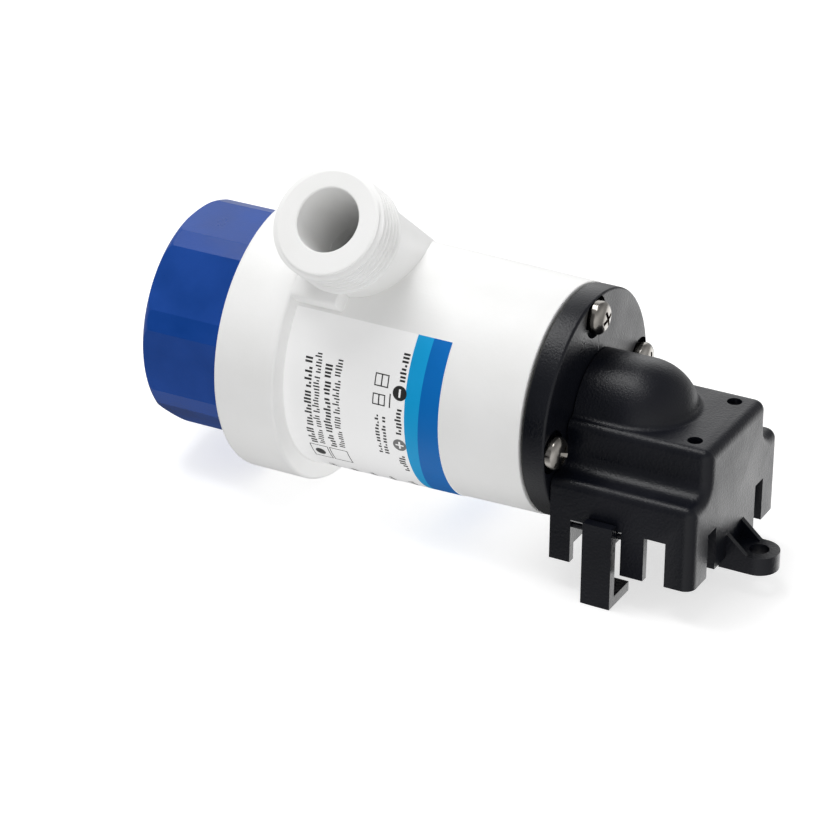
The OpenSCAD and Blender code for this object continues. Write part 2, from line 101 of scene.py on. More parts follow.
def node_tree(name):
    mat = bpy.data.materials.new(name)
    mat.use_nodes = True
    tree = mat.node_tree
    return mat, tree, tree.nodes["Principled BSDF"]


def noise(tree, scale, detail, rough=0.5):
    coord = tree.nodes.new("ShaderNodeTexCoord")
    tex = tree.nodes.new("ShaderNodeTexNoise")
    tex.inputs["Scale"].default_value = scale
    tex.inputs["Detail"].default_value = detail
    tex.inputs["Roughness"].default_value = rough
    tree.links.new(coord.outputs["Object"], tex.inputs["Vector"])
    return tex.outputs["Fac"]


def ramp(tree, source, low, high, a, b):
    node = tree.nodes.new("ShaderNodeValToRGB")
    node.color_ramp.elements[0].position = a
    node.color_ramp.elements[1].position = b
    node.color_ramp.elements[0].color = (*low, 1)
    node.color_ramp.elements[1].color = (*high, 1)
    tree.links.new(source, node.inputs["Fac"])
    return node.outputs["Color"]


def spread(tree, source, low, high):
    node = tree.nodes.new("ShaderNodeMapRange")
    node.inputs["From Min"].default_value = 0.3
    node.inputs["From Max"].default_value = 0.7
    node.inputs["To Min"].default_value = low
    node.inputs["To Max"].default_value = high
    tree.links.new(source, node.inputs["Value"])
    return node.outputs["Result"]


def bump(tree, bsdf, source, distance):
    node = tree.nodes.new("ShaderNodeBump")
    node.inputs["Strength"].default_value = 1.0
    node.inputs["Distance"].default_value = distance
    tree.links.new(source, node.inputs["Height"])
    tree.links.new(node.outputs["Normal"], bsdf.inputs["Normal"])


def surface(name, low, high, rough, grain, grain_depth, metallic=0.0, **sockets):
    """A material with mottled colour, uneven gloss and a fine bump."""
    mat, tree, bsdf = node_tree(name)
    wide = noise(tree, BLOTCH, 4)
    fine = noise(tree, grain, 2, 0.6)
    tree.links.new(ramp(tree, wide, low, high, 0.35, 0.65), bsdf.inputs["Base Color"])
    tree.links.new(spread(tree, wide, rough[0], rough[1]), bsdf.inputs["Roughness"])
    bump(tree, bsdf, fine, grain_depth)
    bsdf.inputs["Metallic"].default_value = metallic
    for key, value in sockets.items():
        bsdf.inputs[key.replace("_", " ")].default_value = value
    return mat


def grey(v):
    return (v, v, v)


WHITE = surface("white_plastic", (0.87, 0.87, 0.86), (0.90, 0.90, 0.895), (0.38, 0.48), 900, 0.00002,
                Specular_IOR_Level=0.35)
# The label film's emission of 0.13 is a painted glow: it lifts the label to an even, flat brightness
# that no lamp gives it.
LABEL = surface("label_film", grey(0.86), grey(0.88), (0.36, 0.44), 700, 0.00001,
                Emission_Color=(1, 1, 1, 1), Emission_Strength=0.13, Specular_IOR_Level=0.3)
BLUE = surface("blue_plastic", (0.002, 0.045, 0.25), (0.006, 0.058, 0.31), (0.26, 0.38), 1400,
               0.00003, Specular_IOR_Level=0.18)
BLACK = surface("black_plastic", (0.0030, 0.0038, 0.0070), (0.0045, 0.0052, 0.0092), (0.26, 0.40),
                1500, 0.00010, Specular_IOR_Level=0.25)
STEEL = surface("stainless", (0.24, 0.225, 0.205), (0.34, 0.325, 0.305), (0.16, 0.26), 900, 0.00001, 1.0)
DARK = surface("dark_plastic", (0.02, 0.021, 0.024), (0.028, 0.029, 0.032), (0.35, 0.5), 900, 0.00002)
IVORY = surface("ivory_plastic", (0.70, 0.66, 0.57), (0.76, 0.72, 0.64), (0.35, 0.5), 900, 0.00002)
NYLON = surface("nylon", (0.66, 0.62, 0.54), (0.74, 0.70, 0.62), (0.4, 0.55), 900, 0.00002)
PHENOLIC = surface("phenolic", (0.10, 0.035, 0.018), (0.15, 0.055, 0.025), (0.5, 0.65), 600, 0.00003)
RUBBER = surface("rubber", (0.012, 0.012, 0.012), (0.02, 0.02, 0.02), (0.6, 0.75), 900, 0.00003)
PLATED = surface("plated_steel", (0.46, 0.46, 0.46), (0.58, 0.58, 0.57), (0.25, 0.4), 700, 0.00001, 1.0)
CAST = surface("zinc_casting", (0.40, 0.41, 0.43), (0.50, 0.51, 0.53), (0.4, 0.55), 500, 0.00004, 0.9)
CORE = surface("core_steel", (0.20, 0.20, 0.21), (0.30, 0.30, 0.30), (0.4, 0.6), 600, 0.00004, 0.9)
FERRITE = surface("ferrite", (0.04, 0.04, 0.045), (0.07, 0.07, 0.075), (0.5, 0.65), 600, 0.00003)
BRONZE = surface("bronze", (0.40, 0.24, 0.10), (0.50, 0.32, 0.15), (0.35, 0.5), 600, 0.00003, 1.0)
CARBON = surface("carbon", (0.015, 0.015, 0.016), (0.03, 0.03, 0.03), (0.45, 0.6), 500, 0.00004)
BRASS = surface("brass", (0.60, 0.42, 0.14), (0.70, 0.52, 0.22), (0.25, 0.4), 600, 0.00001, 1.0)
WIRE = surface("copper_wire", (0.42, 0.13, 0.05), (0.55, 0.20, 0.08), (0.25, 0.4), 500, 0.0001, 0.7)
COPPER = surface("copper", (0.66, 0.34, 0.20), (0.76, 0.43, 0.27), (0.25, 0.35), 500, 0.00001, 1.0)
INK = surface("ink_black", grey(0.012), grey(0.03), (0.35, 0.45), 700, 0.00001)
INK_GREY = surface("ink_grey", grey(0.16), grey(0.20), (0.35, 0.45), 700, 0.00001)
SKY = surface("ink_light_blue", (0.006, 0.345, 0.70), (0.010, 0.365, 0.74), (0.36, 0.44), 700, 0.00001,
              Specular_IOR_Level=0.15)
DEEP = surface("ink_dark_blue", (0.001, 0.145, 0.49), (0.002, 0.155, 0.53), (0.36, 0.44), 700, 0.00001,
               Specular_IOR_Level=0.15)
FLOOR = surface("floor", grey(0.54), grey(0.56), (0.7, 0.8), 40, 0.0001,
                Emission_Color=(1, 1, 1, 1), Emission_Strength=0.64)

SLOT_LOOK = {
    "white_plastic": WHITE, "label_film": LABEL, "black_plastic": BLACK, "blue_plastic": BLUE,
    "dark_plastic": DARK, "ivory_plastic": IVORY, "nylon": NYLON, "phenolic": PHENOLIC, "rubber": RUBBER,
    "stainless": STEEL, "plated_steel": PLATED, "zinc_casting": CAST, "core_steel": CORE,
    "ferrite": FERRITE, "bronze": BRONZE, "carbon": CARBON, "brass": BRASS, "copper_wire": WIRE,
    "copper": COPPER,
}
NODE_SLOT = {row["node"]: row["material_slot"] for row in frame["record"]["subparts"]}
for name, obj in frame["nodes"].items():
    obj.data.materials.clear()
    obj.data.materials.append(SLOT_LOOK[NODE_SLOT[name]])


# ---- Mesh helpers ----

def make(name, verts, faces, mat):
    """A thin printed piece from points in millimetres, riding on the pump body."""
    mesh = bpy.data.meshes.new(name)
    mesh.from_pydata([place(v) for v in verts], [], faces)
    mesh.validate()
    obj = bpy.data.objects.new(name, mesh)
    bpy.context.scene.collection.objects.link(obj)
    mesh.materials.append(mat)
    shade(obj, 35.0)
    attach(obj, "pump_body")
    return obj


def shade(obj, degrees):
    """Smooth faces, with sharp edges where two faces meet at more than an angle."""
    for poly in obj.data.polygons:
        poly.use_smooth = True
    bm = bmesh.new()
    bm.from_mesh(obj.data)
    for edge in bm.edges:
        edge.smooth = len(edge.link_faces) == 2 and edge.calc_face_angle(0) < math.radians(degrees)
    bm.to_mesh(obj.data)
    bm.free()


def finish_cad(node, width, angle=32.0):
    """Rounds a CAD node's edges with modifiers, which leave its own mesh as it is."""
    obj = frame["nodes"][node]
    weld = obj.modifiers.new("weld", "WELD")
    weld.merge_threshold = 0.000002
    flat = obj.modifiers.new("flat", "DECIMATE")
    flat.decimate_type = "DISSOLVE"
    flat.angle_limit = math.radians(0.6)
    bevel = obj.modifiers.new("bevel", "BEVEL")
    bevel.width = width / 1000
    bevel.segments = 3
    bevel.limit_method = "ANGLE"
    bevel.angle_limit = math.radians(angle)
    bevel.use_clamp_overlap = True
    bevel.harden_normals = False


# ---- Solid helpers ----

def solid(shape):
    """A loose mesh object in millimetres about the pump axis, for joining and cutting."""
    verts, faces = shape
    mesh = bpy.data.meshes.new("work")
    mesh.from_pydata([Vector(v) for v in verts], [], faces)
    bm = bmesh.new()
    bm.from_mesh(mesh)
    bmesh.ops.remove_doubles(bm, verts=bm.verts, dist=0.0005)
    bmesh.ops.recalc_face_normals(bm, faces=bm.faces)
    bm.to_mesh(mesh)
    bm.free()
    obj = bpy.data.objects.new("work", mesh)
    bpy.context.scene.collection.objects.link(obj)
    return obj


def baked(obj):
    """Applies an object's modifiers."""
    view = bpy.context.evaluated_depsgraph_get()
    mesh = bpy.data.meshes.new_from_object(obj.evaluated_get(view))
    obj.modifiers.clear()
    obj.data = mesh
    return obj


def combine(obj, tool, operation):
    """Joins a shape to a worked mesh, or cuts it, and removes the tool."""
    mod = obj.modifiers.new("combine", "BOOLEAN")
    mod.operation = operation
    mod.solver = "EXACT"
    mod.object = tool
    baked(obj)
    bpy.data.objects.remove(tool)


def round_edges(obj, width, angle, segments=3):
    mod = obj.modifiers.new("round", "BEVEL")
    mod.width = width
    mod.segments = segments
    mod.limit_method = "ANGLE"
    mod.angle_limit = math.radians(angle)
    return baked(obj)


def piece(obj, name, mat, replaced, smooth=35.0):
    """Moves a worked mesh into the row frame, where it stands for one CAD node."""
    obj.name = name
    obj.data.name = name
    obj.data.transform(Matrix.Translation(place((0, 0, 0))) @ Matrix.Scale(0.001, 4))
    obj.data.materials.clear()
    obj.data.materials.append(mat)
    shade(obj, smooth)
    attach(obj, "pump_body")
    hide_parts(replaced)


def lathe(profile, turns=192):
    """Solid of revolution about X from a closed loop of (x, r) points."""
    verts, faces = [], []
    n = len(profile)
    for k in range(turns):
        a = 2 * math.pi * k / turns
        verts += [(x, -r * math.sin(a), r * math.cos(a)) for x, r in profile]
    for k in range(turns):
        for i in range(n):
            a, b = k * n + i, k * n + (i + 1) % n
            c, d = ((k + 1) % turns) * n + (i + 1) % n, ((k + 1) % turns) * n + i
            faces.append((a, b, c, d))
    return verts, faces


def arc(cx, cy, r, start, end, steps=6):
    """Points on an arc about (cx, cy), between two angles in degrees."""
    points = []
    for i in range(steps + 1):
        a = math.radians(start + (end - start) * i / steps)
        points.append((cx + r * math.cos(a), cy + r * math.sin(a)))
    return points


def prism(outline, low, high):
    """A closed prism on outline points (u, v); low and high give the place of its two ends."""
    n = len(outline)
    verts = [low(u, v) for u, v in outline] + [high(u, v) for u, v in outline]
    faces = [(i, (i + 1) % n, n + (i + 1) % n, n + i) for i in range(n)]
    faces += [tuple(range(n - 1, -1, -1)), tuple(range(n, 2 * n))]
    return verts, faces


def block(lo, hi):
    """A box between two corners."""
    corners = [(lo[0], lo[1]), (hi[0], lo[1]), (hi[0], hi[1]), (lo[0], hi[1])]
    return prism(corners, lambda u, v: (u, v, lo[2]), lambda u, v: (u, v, hi[2]))


def post(x, y, r, z0, z1, steps=48):
    """An upright round post."""
    ring = []
    for i in range(steps):
        a = 2 * math.pi * i / steps
        ring.append((x + r * math.cos(a), y + r * math.sin(a)))
    return prism(ring, lambda u, v: (u, v, z0), lambda u, v: (u, v, z1))


def chamber():
    """The room inside the housing, which the outlet's parts are cut back to."""
    return solid(lathe([(-100, NEAR_AXIS), (-100, CHAMBER_R), (-20, CHAMBER_R), (-20, NEAR_AXIS)], 96))


def at_screw(obj, index):
    """Moves a work mesh made about the axis to a flange screw's place."""
    t = math.radians(SCREW_TURN + 360 / SCREW_COUNT * index)
    obj.data.transform(Matrix.Translation((0, -SCREW_CIRCLE * math.sin(t), SCREW_CIRCLE * math.cos(t))))


# ---- Housing and outlet ----

def outlet_lug():
    """The block that ties the outlet's root to the collar, cut back to the chamber."""
    limit, corner, trim, steps = COLLAR_R - 0.15, 1.2, 1.2, 24
    left, right, foot = 2.8, 37.0, 3
    start, end = (math.degrees(math.atan2(math.sqrt(limit**2 - m**2), m)) for m in (left, right))
    outline = [(left, foot), (left, limit * math.sin(math.radians(start)) - corner)]
    for i in range(steps + 1):
        a = math.radians(start - trim + (end + trim - start + trim) * i / steps)
        outline.append((limit * math.cos(a), limit * math.sin(a)))
    outline += [(right, limit * math.sin(math.radians(end)) - corner), (right, 11), (34.0, -4)]
    lug = solid(prism(outline, lambda m, h: outlet_point(COLLAR_FRONT - 1, m, h),
                      lambda m, h: outlet_point(LUG_FRONT + LUG_SLANT * m, m, h)))
    round_edges(lug, 0.7, 35)
    combine(lug, chamber(), "DIFFERENCE")
    return lug


def housing():
    front, rear, neck_end, shoulder = TUBE_FRONT, COLLAR_REAR, -124, COLLAR_FRONT
    mouth_r, cap_neck_r, cap_bore_r, inner_r, collar_inner_r = 23.2, 30.0, 26.6, 31, 37.3
    outside = ([(front, mouth_r)] + arc(front - 0.5, TUBE_R_FRONT - 0.5, 0.5, 0, 90, 3)
               + [(shoulder + 0.8, tube_r(shoulder))]
               + arc(shoulder + 0.8, TUBE_R_REAR + 0.8, 0.8, 270, 180, 4)
               + arc(shoulder - 1.0, COLLAR_R - 1.0, 1.0, 0, 90, 5)
               + arc(rear + 2.0, COLLAR_R - 2.0, 2.0, 90, 180, 7)
               + [(rear, cap_neck_r), (neck_end, cap_neck_r), (neck_end, cap_bore_r)])
    inside = [(-100, cap_bore_r), (-100, 35), (-97, collar_inner_r), (-85.7, collar_inner_r),
              (-79.7, inner_r), (-12.9, inner_r), (-12.9, mouth_r)]
    shell = solid(lathe(outside + inside))
    combine(shell, outlet_lug(), "UNION")
    foot, top = 6, 64
    bore = [(foot, 0), (foot, BORE_R - 0.4), (top, BORE_R - 0.2), (top, 0)]
    combine(shell, solid(outlet_tube(bore, BORE_SHIFT)), "DIFFERENCE")
    piece(shell, "housing_shell", WHITE, "pump_housing", smooth=28)


def outlet_tube(profile, shift, turns=96):
    """Solid of revolution about the outlet's axis from (h, r) points."""
    verts, faces = [], []
    n = len(profile)
    for k in range(turns):
        a = 2 * math.pi * k / turns
        for h, r in profile:
            across, along = OUTLET_X + r * math.cos(a), OUTLET_OFFSET + shift + r * math.sin(a)
            verts.append(outlet_point(across, along, h))
    for k in range(turns):
        for i in range(n):
            j, m = (i + 1) % n, (k + 1) % turns
            faces.append((k * n + i, k * n + j, m * n + j, m * n + i))
    return verts, faces


def thread_r(h, turn, top, foot):
    """The thread's radius at a height, for a place given in turns about the outlet's axis."""
    depth, chamfer, chamfer_len = 1.3, 1.7, 0.8
    start, steepness, flat, run_out = 2.0, 1.35, 0.15, 0.5
    phase = ((h - top + start) / THREAD_PITCH + turn) % 1.0
    groove = min(1.0, max(0.0, (0.5 - 0.5 * math.cos(2 * math.pi * phase)) * steepness - flat))
    fade = min(1.0, max(0.0, (h - foot - run_out) / 1.0))
    return min(THREAD_R - depth * groove * fade, THREAD_R - chamfer + (top - h) * chamfer / chamfer_len)


def outlet():
    """The outlet pipe with a G 1 thread: a helical groove under the crest radius, over a plain neck."""
    turns, per_pitch = 160, 14
    top, foot = OUTLET_H, OUTLET_H - THREAD_LEN
    steps = int((top - foot) / THREAD_PITCH * per_pitch)
    bore = [(24.0, BORE_R - 0.35), (top - 0.35, BORE_R), (top, BORE_R + 0.35)]
    rows = [[(h, r, BORE_SHIFT)] * turns for h, r in bore]
    rows.append([(top, THREAD_R - 1.85, 0.0)] * turns)
    for i in range(steps + 1):
        h = top - (top - foot) * i / steps
        rows.append([(h, thread_r(h, k / turns, top, foot), 0.0) for k in range(turns)])
    neck = [(foot - 0.25, THREAD_R - 0.25), (foot - 0.4, THREAD_R - 0.8), (foot - 0.5, NECK_R + 0.4),
            (foot - 0.8, NECK_R + 0.08), (foot - 1.2, NECK_R)]
    neck += [(h, NECK_R) for h in (30.0, 6.0, 0.0)]
    for degrees in (10, 20, 30, 40, 50):
        a = math.radians(degrees)
        neck.append((-NECK_R * math.sin(a), NECK_R * math.cos(a)))
    rows += [[(h, r, 0.0)] * turns for h, r in neck]
    verts, faces = [], []
    for row in rows:
        for k, (h, r, shift) in enumerate(row):
            a = 2 * math.pi * k / turns
            across, along = OUTLET_X + r * math.cos(a), OUTLET_OFFSET + shift + r * math.sin(a)
            verts.append(outlet_point(across, along, h))
    for i in range(len(rows)):
        j = (i + 1) % len(rows)
        for k in range(turns):
            m = (k + 1) % turns
            faces.append((i * turns + k, j * turns + k, j * turns + m, i * turns + m))
    pipe = solid((verts, faces))
    combine(pipe, chamber(), "DIFFERENCE")
    piece(pipe, "outlet_pipe", WHITE, "pump_housing", smooth=40)


# ---- Inlet flange ----

def inlet_flange():
    """The flange plate with a pocket for each screw head, and its spigot into the elbow."""
    back, front = GASKET_T - FLANGE_T, 12
    edge, rim, spigot_r, spigot_len, inlet_r = 0.8, 0.35, 13.7, 6.5, 12.0
    floor, seat_r, hole_r = -1.8, 4.3, SCREW_R + 0.3
    plate = solid(lathe([(back, inlet_r), (back, FLANGE_R)] + arc(-edge, FLANGE_R - edge, edge, 90, 0, 5)
                        + [(0, spigot_r), (spigot_len, spigot_r), (spigot_len, inlet_r)]))
    within = [(-20, NEAR_AXIS), (-20, FLANGE_R - rim), (20, FLANGE_R - rim), (20, NEAR_AXIS)]
    for i in range(SCREW_COUNT):
        pocket = solid(lathe([(floor, seat_r), (floor, POCKET_R), (front, POCKET_R), (front, NEAR_AXIS),
                              (back - 1, NEAR_AXIS), (back - 1, hole_r), (SCREW_SEAT, hole_r),
                              (SCREW_SEAT, seat_r)], 96))
        at_screw(pocket, i)
        combine(pocket, solid(lathe(within)), "INTERSECT")
        combine(plate, pocket, "DIFFERENCE")
    round_edges(plate, 0.22, 35, 2)
    piece(plate, "flange_plate", BLACK, "inlet_flange", smooth=32)


# ---- Strainer base ----

def base_side(inset):
    """Half of the box's cross-section, (y, z) from its top to its lower wall, pulled in by inset."""
    up, low = BASE_UPPER - inset, BASE_LOWER - inset
    top, ledge = BASE_TOP - inset, BASE_LEDGE - inset
    out_r, in_r = max(LEDGE_ROUND - inset, 0.6), LEDGE_FILLET + inset
    return (arc(up - out_r, top - out_r, out_r, 90, 0, 7)
            + arc(up + in_r, ledge + in_r, in_r, 180, 270, 7)
            + arc(low - out_r, ledge - out_r, out_r, 90, 0, 7))


def base_section(inset, depth):
    """The whole cross-section, open downwards at a depth."""
    side = base_side(inset)
    side.append((side[-1][0], -depth))
    return side + [(-y, z) for y, z in reversed(side)]


def loft(sections):
    """A closed solid through sections of (x, [(y, z)]) with the same number of points."""
    verts, faces = [], []
    n = len(sections[0][1])
    for x, points in sections:
        verts += [(x, y, z) for y, z in points]
    for i in range(len(sections) - 1):
        for k in range(n):
            m = (k + 1) % n
            faces.append((i * n + k, i * n + m, (i + 1) * n + m, (i + 1) * n + k))
    faces += [tuple(range(n)), tuple((len(sections) - 1) * n + k for k in range(n - 1, -1, -1))]
    return verts, faces


def mound(profile, x_start, x_turn, turns=96):
    """A profile of (radius, z) points drawn out along X, with a half-round end about x_turn."""
    n = len(profile)
    path = ([(x_start, -90.0)] + [(x_turn, -90 + 180.0 * k / turns) for k in range(turns + 1)]
            + [(x_start, 90.0)])
    verts = []
    for x, degrees in path:
        a = math.radians(degrees)
        verts += [(x + r * math.cos(a), r * math.sin(a), z) for r, z in profile]
    faces = []
    for i in range(len(path)):
        j = (i + 1) % len(path)
        for k in range(n - 1):
            faces.append((i * n + k, j * n + k, j * n + k + 1, i * n + k + 1))
    return verts, faces


def base_box(deep, end_r, steps=7):
    """The stepped box, with its far end rounded over."""
    stations = [(BASE_START, base_section(0, deep)), (BASE_LEN - end_r, base_section(0, deep))]
    for k in range(1, steps + 1):
        a = math.radians(90 * k / steps)
        inset = end_r * (1 - math.cos(a))
        stations.append((BASE_LEN - end_r + end_r * math.sin(a), base_section(inset, deep)))
    return solid(loft(stations))


def elbow_dome(fillet=2.2, steps=22):
    """The dome over the elbow, with a fillet where it meets the box's top."""
    centre_z = BASE_TOP + fillet
    reach = math.sqrt((DOME_R + fillet) ** 2 - centre_z ** 2)
    meet = math.degrees(math.atan2(centre_z, reach))
    profile = [(0, -3), (reach, -3)] + arc(reach, centre_z, fillet, 270, 180 + meet, 8)
    for i in range(1, steps):
        a = math.radians(meet + (90 - meet) * i / steps)
        profile.append((DOME_R * math.cos(a), DOME_R * math.sin(a)))
    profile.append((0, DOME_R))
    return solid(mound(profile, BASE_START, ELBOW_X))


def mounting_ear():
    """The ear with its hole, and the two ribs that brace it."""
    half, thick, hole_r, rib_in, rib_len, rib_top = 6.0, 5.4, 2.95, 4.4, 6.2, -27.8
    top = EAR_Z + thick
    ear = solid(post(EAR_X, 0, half, EAR_Z, top, 64))
    combine(ear, solid(block((BASE_LEN - 2.0, -half, EAR_Z), (EAR_X, half, top))), "UNION")
    for side in (-1, 1):
        rib = [(BASE_LEN - 1, top - 1), (BASE_LEN - 1, rib_top), (BASE_LEN, rib_top),
               (BASE_LEN + rib_len, top), (BASE_LEN + rib_len, top - 1)]
        near, far = side * rib_in, side * half
        combine(ear, solid(prism(rib, lambda x, z: (x, near, z), lambda x, z: (x, far, z))), "UNION")
    combine(ear, solid(post(EAR_X, 0, hole_r, EAR_Z - 1, top + 1, 64)), "DIFFERENCE")
    return ear


def strainer_base():
    deep, wall, end_r = 35.2, 2.4, 3.4
    elbow_r, drop_r, pipe_r = 14, 13.6, 11.4
    shell = base_box(deep, end_r)
    combine(shell, elbow_dome(), "UNION")
    inner = base_section(wall, deep + 3)
    combine(shell, solid(loft([(BASE_START + wall, inner), (BASE_LEN - wall, inner)])), "DIFFERENCE")
    combine(shell, solid(post(ELBOW_X, 0, drop_r, -DROP_DEPTH, 1, 96)), "UNION")
    combine(shell, mounting_ear(), "UNION")
    dome = arc(ELBOW_X, 0, elbow_r, 90, 0, 16)[:-1] + [(ELBOW_X + elbow_r - 0.01, NEAR_AXIS)]
    entry = BASE_START - 4
    low, slot_top, inlet_top = -41.6, -21.6, -20.5
    cuts = [lathe([(entry, NEAR_AXIS), (entry, elbow_r)] + dome, 96),
            post(ELBOW_X, 0, pipe_r, -DROP_DEPTH - 1, 0, 96),
            block((BASE_START - 1, -11, -41), (BASE_START + wall + 1, 11, inlet_top))]
    for side in (-1, 1):
        for start, end in ((6.7, 22.3), (29.3, 35.8)):
            y = side * BASE_LOWER
            cuts.append(block((start, y - 5, low), (end, y + 5, slot_top)))
        y = side * 16.6
        cuts.append(block((BASE_LEN - 5, y - 2.8, low), (BASE_LEN + 5, y + 2.8, slot_top)))
        cuts.append(post(36.5, side * 13.7, 2.2, BASE_TOP - 6, BASE_TOP + 3))
    for cut in cuts:
        combine(shell, solid(cut), "DIFFERENCE")
    round_edges(shell, 0.4, 38, 2)
    piece(shell, "base_shell", BLACK, "strainer_base", smooth=38)


# ---- Label and its printing ----

def patch(verts, faces, x0, x1, t0, t1, lift, steps=None):
    """A piece of the tube's surface between two x (numbers or functions of the angle) and two angles."""
    steps = steps or max(2, int(abs(t1 - t0) / 2))
    at = lambda x, t: x(t) if callable(x) else x
    start = len(verts)
    for i in range(steps + 1):
        t = t0 + (t1 - t0) * i / steps
        for x in (at(x0, t), at(x1, t)):
            r = tube_r(x) + lift
            verts.append((x, -r * math.sin(math.radians(t)), r * math.cos(math.radians(t))))
    for i in range(steps):
        a = start + 2 * i
        faces.append((a, a + 1, a + 3, a + 2))


def label():
    verts, faces = [], []
    steps = 95
    for lift in (0.04, 0.2):
        patch(verts, faces, LABEL_REAR, LABEL_FRONT, LABEL_TOP, LABEL_TOP + LABEL_SPAN, lift, steps)
    n = 2 * (steps + 1)
    for i in range(steps):
        for side in (0, 1):
            a = 2 * i + side
            faces.append((a, a + 2, n + a + 2, n + a))
    for a in (0, n - 2):
        faces.append((a, a + 1, n + a + 1, n + a))
    # The sheet takes the label film, with its painted glow.
    piece(solid((verts, faces)), "label_sheet", LABEL, "label", smooth=28)


def print_piece(name, shapes, mat, lift=0.23):
    """One printed piece from (x0, x1, angle0, angle1) patches, just proud of the label."""
    verts, faces = [], []
    for x0, x1, t0, t1 in shapes:
        patch(verts, faces, x0, x1, t0, t1, lift)
    make(name, verts, faces, mat)


def dial(name, x, t, r, mat, lift=0.24, steps=28):
    """A round mark on the label."""
    verts, faces = [], []
    deg = math.degrees(1 / tube_r(x))
    for rr in (0.0, r):
        for i in range(steps):
            a = 2 * math.pi * i / steps
            xx, tt = x + rr * math.cos(a), t + rr * math.sin(a) * deg
            rad = tube_r(xx) + lift
            verts.append((xx, -rad * math.sin(math.radians(tt)), rad * math.cos(math.radians(tt))))
    for i in range(steps):
        j = (i + 1) % steps
        faces.append((i, j, steps + j, steps + i))
    make(name, verts, faces, mat)


def stripe_edge(t):
    """The line between the two stripes, which leans away along an arc."""
    return -38.5 - 2.9 * ((t - LABEL_TOP) / 91) ** 2 if t < 145 else -41.7


def window(x, t, half):
    """Patches of a plain upright box with a bar down its middle."""
    tall, thin, thin_deg = half * 1.4, 0.35, 0.55
    return [(x - half, x - half + thin, t - tall, t + tall),
            (x + half - thin, x + half, t - tall, t + tall),
            (x - half, x + half, t - tall, t - tall + thin_deg),
            (x - half, x + half, t + tall - thin_deg, t + tall),
            (x - 0.2, x + 0.2, t - tall, t + tall)]


def printing():
    low = LABEL_TOP + LABEL_SPAN - 20
    print_piece("stripe_light", [(-43.5, stripe_edge, LABEL_TOP, low)], SKY, 0.22)
    print_piece("stripe_dark", [(stripe_edge, LABEL_FRONT, LABEL_TOP, low)], DEEP, 0.22)
    marks = []
    deg = math.degrees(1 / 35.0)

    def line(x, start, end, height, bold, words):
        """A line of plain upright bars in word-like groups that runs up the label; x is its foot."""
        w = 0.62 if bold else 0.42
        t = start
        while t > end:
            for _ in range(words[0]):
                tall = height * rng.choice((1.0, 0.85, 0.72))
                low = x - height * rng.choice((0.0, 0.0, 0.12))
                marks.append((low - tall, low, t, t - w * deg))
                if rng.random() < 0.6:
                    t -= (w + 0.42) * deg
                    short = tall * rng.choice((1.0, 0.7, 0.45))
                    marks.append((low - short, low, t, t - w * deg))
                t -= (w + 0.5) * deg
                if t <= end:
                    return
            words = words[1:] + words[:1]
            t -= 0.7 * deg

    line(-73.4, 117.5, 71, 2.3, True, [3, 6, 3, 4])
    line(-70.7, 117.0, 66.5, 2.1, False, [4, 3, 8, 4, 2])
    line(-67.1, 117.5, 73, 2.3, True, [3, 7, 3, 2])
    line(-64.1, 116.5, 67.5, 2.1, False, [4, 3, 8, 4, 2])
    line(-51.6, 113, 90, 1.3, True, [7, 6])
    line(-49.5, 113, 91.5, 1.3, True, [6, 5])
    line(-44.1, 72.3, 60, 2.0, True, [5])
    line(-44.3, 99, 84.5, 2.0, True, [5])
    line(-44.6, 124, 112, 2.0, True, [6])
    for x in (-73.2, -66.1, -60.0, -53.5, -46.4):
        line(x, 175, 140, 2.1, False, [5, 3, 7, 4])
    for x0, x1 in ((-76.6, -70.7), (-70.2, -64.2)):
        marks.extend([(x0, x0 + 0.25, 119.2, 130), (x1 - 0.25, x1, 119.2, 130),
                      (x0, x1, 119.2, 119.6), (x0, x1, 129.6, 130)])
    marks.extend(window(-51.7, 83, 2.0) + window(-51.3, 73.6, 2.2))
    marks.append((-48.4, -48.0, 79, 86))
    print_piece("print_marks", marks, INK)
    dial("tick_mark", -73.9, 124.8, 1.6, INK)
    dial("minus_disc", -45.3, 77.8, 2.2, INK)
    # The white signs take the label film too, with its painted glow.
    print_piece("minus_sign", [(-45.6, -45.0, 75.8, 79.8)], LABEL, 0.26)
    dial("plus_disc", -45.5, 105.3, 2.1, INK_GREY)
    print_piece("plus_sign", [(-45.8, -45.2, 103.2, 107.4), (-46.8, -44.2, 104.9, 105.7)], LABEL, 0.26)


# ---- Screws ----

def flange_screws():
    head_r, head_h, edge, length = 4.9, 4.2, 1.7, 20.5
    half_len, half_w, depth = 3.1, 0.62, 2.1
    top, end = SCREW_SEAT + head_h, SCREW_SEAT - length
    outline = [(-half_len, -half_w), (half_len, -half_w), (half_len, half_w), (-half_len, half_w)]
    dome = []
    for degrees in range(0, 90, 6):
        a = math.radians(degrees)
        dome.append((SCREW_SEAT + edge + (head_h - edge) * math.sin(a), head_r * math.cos(a) ** 0.8))
    profile = ([(end, NEAR_AXIS), (end, 2.0), (end + 0.6, SCREW_R), (SCREW_SEAT, SCREW_R),
                (SCREW_SEAT, head_r - 0.25), (SCREW_SEAT + 0.25, head_r)] + dome + [(top, NEAR_AXIS)])
    for i, turn in enumerate((20, 64, 33, 75)):
        screw = solid(lathe(profile, 64))
        for a in (0, 90):
            slot = solid(prism(outline, lambda u, v: (top - depth, u * 0.35, v * 0.6),
                               lambda u, v: (top + 1, u * 1.12, v * 1.12)))
            slot.data.transform(Matrix.Rotation(math.radians(turn + a), 4, "X"))
            combine(screw, slot, "DIFFERENCE")
        at_screw(screw, i)
        piece(screw, f"flange_screw_{i + 1}", STEEL, "flange_screws", smooth=40)


# ---- Camera, floor and lights ----

